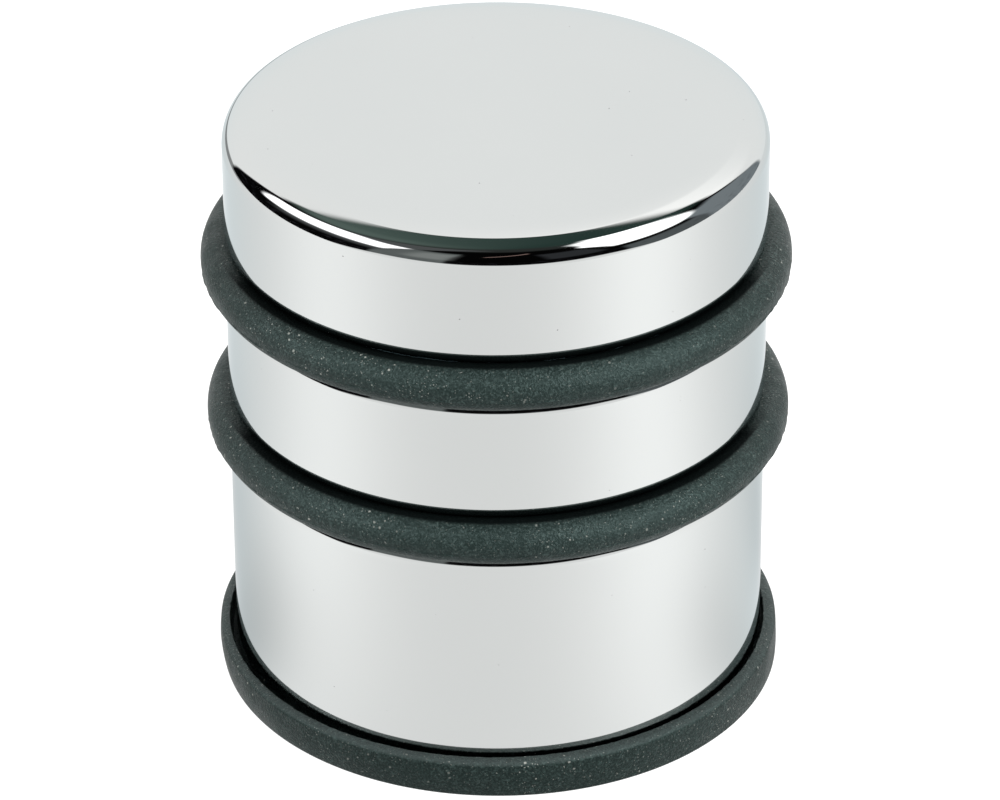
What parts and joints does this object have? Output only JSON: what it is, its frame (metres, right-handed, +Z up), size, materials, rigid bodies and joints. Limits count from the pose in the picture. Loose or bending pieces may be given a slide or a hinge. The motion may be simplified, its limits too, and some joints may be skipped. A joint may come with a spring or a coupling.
{
  "type": "free-standing door holder",
  "caption": "Weighted chrome-plated cylinder that stands on the floor and holds a door, with rubber bumper rings seated in grooves round its wall and a rubber foot underneath.",
  "frame": {"origin": "middle of the underside of the rubber foot, on the floor plane", "axes": "+Z up along the axis of the cylinder; the part is turned, so +X and +Y are any two square directions on the floor"},
  "size_m": [0.0764, 0.0764, 0.0794],
  "materials": {
    "chromed_shell": "polished chrome plate over drawn steel, bluish white with a few fine dust specks",
    "bumper_rubber": "matt black-green moulded rubber with a soft sheen, fine grain and pale dust",
    "foot_rubber": "matt black moulded rubber with a slightly ragged trimmed rim",
    "adhesive_foam": "off-white double-sided foam tape",
    "zinc_plated_steel": "bright zinc plate with a faint yellow-blue tint",
    "cast_iron": "as-cast dark grey iron, sandy surface",
    "cushion_foam": "dark closed-cell foam",
    "plain_steel": "plain oiled steel"
  },
  "bodies": {
    "root": {"body_shell": "chromed_shell", "upper_bumper_ring": "bumper_rubber", "lower_bumper_ring": "bumper_rubber", "base_pad": "foot_rubber", "pad_adhesive_ring": "adhesive_foam", "closing_plate": "zinc_plated_steel", "core_weight": "cast_iron", "crown_cushion": "cushion_foam", "centre_stud": "plain_steel", "flat_washer": "zinc_plated_steel", "lock_washer": "zinc_plated_steel", "hex_nut": "zinc_plated_steel"}
  },
  "joints": []
}
